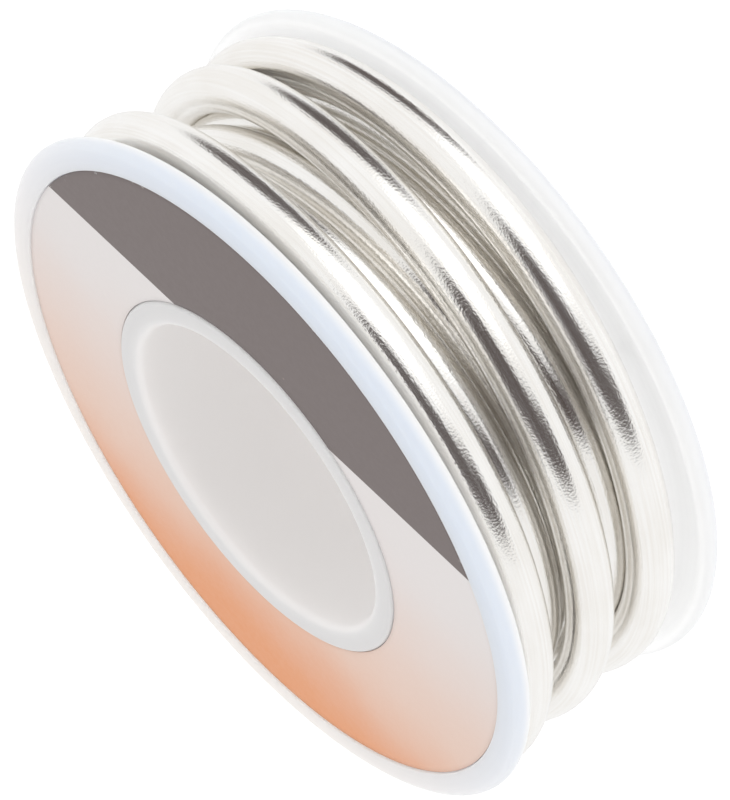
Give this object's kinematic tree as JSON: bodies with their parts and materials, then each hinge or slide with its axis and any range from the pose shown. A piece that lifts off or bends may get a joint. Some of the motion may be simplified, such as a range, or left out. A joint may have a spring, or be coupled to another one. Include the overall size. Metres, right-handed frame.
{
  "type": "solder wire spool",
  "caption": "Moulded plastic spool with a wide bore and a printed ring label, wound with bright solid solder wire in open crossed turns.",
  "frame": {"origin": "centre of the rear flange's outer face, on the spool's axis, where the spool stands when it lies flat", "axes": "+Z along the spool's axis towards the labelled front flange; +Y towards the middle of the label's dark segment"},
  "size_m": [0.052, 0.052, 0.018],
  "materials": {
    "spool_plastic": "milky white translucent polyethylene, moulded, soft gloss",
    "label_paper": "satin printed paper, warm grey segment over pale grey that fades to orange",
    "solder": "bright drawn tin alloy with fine lengthwise draw lines"
  },
  "bodies": {
    "root": {"spool": "spool_plastic", "front_label": "label_paper", "solder_winding": "solder"}
  },
  "joints": []
}
